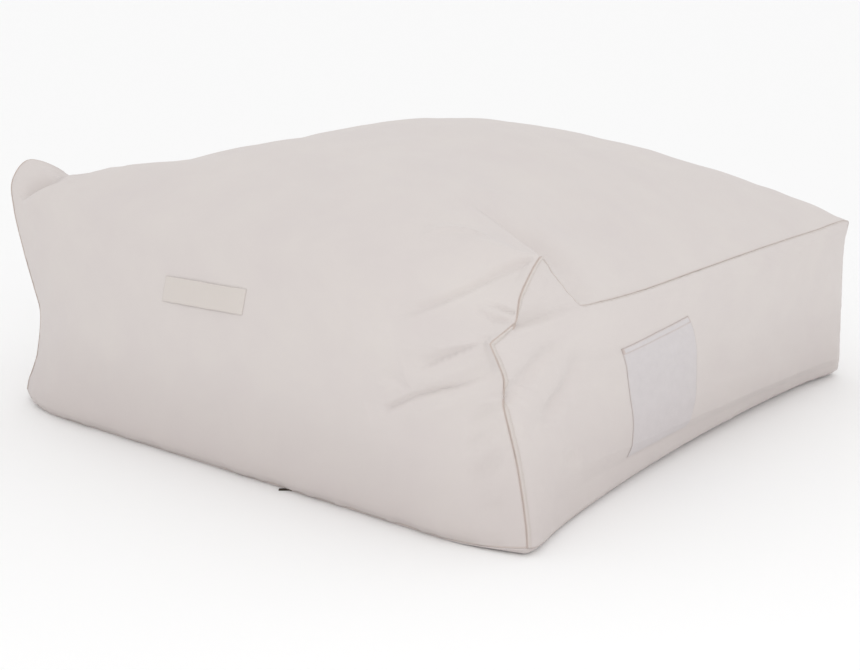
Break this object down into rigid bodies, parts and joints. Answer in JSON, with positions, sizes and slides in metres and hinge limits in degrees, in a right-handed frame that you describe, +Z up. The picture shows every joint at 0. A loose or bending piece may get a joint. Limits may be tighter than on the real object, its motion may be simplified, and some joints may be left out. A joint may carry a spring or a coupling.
{
  "type": "two-seat pouf",
  "caption": "Low, wide two-seat pouf of plain cotton canvas, softly filled, with raised end seams, a carry strap and a patch pocket.",
  "frame": {"origin": "on the floor, on the flat underside of the base panel", "axes": "+Z up, +X towards the end with the pocket, -Y towards the front with the strap"},
  "size_m": [1.3617, 1.3809, 0.578],
  "materials": {
    "body": "matt plain-weave cotton canvas, warm greige",
    "end_panel_right": "matt plain-weave cotton canvas, warm greige",
    "end_panel_left": "matt plain-weave cotton canvas, warm greige",
    "base_panel": "matt plain-weave cotton canvas, warm greige",
    "seam_welt_right": "folded canvas edge, topstitched",
    "seam_welt_left": "folded canvas edge, topstitched",
    "handle": "woven cotton strap, stitched at both ends",
    "side_pocket": "finer, slightly bluish cotton",
    "zip_pull": "dark grey"
  },
  "bodies": {
    "root": {"body": "body", "end_panel_right": "end_panel_right", "end_panel_left": "end_panel_left", "base_panel": "base_panel", "seam_welt_right": "seam_welt_right", "seam_welt_left": "seam_welt_left", "handle": "handle", "side_pocket": "side_pocket", "zip_pull": "zip_pull"}
  },
  "joints": []
}
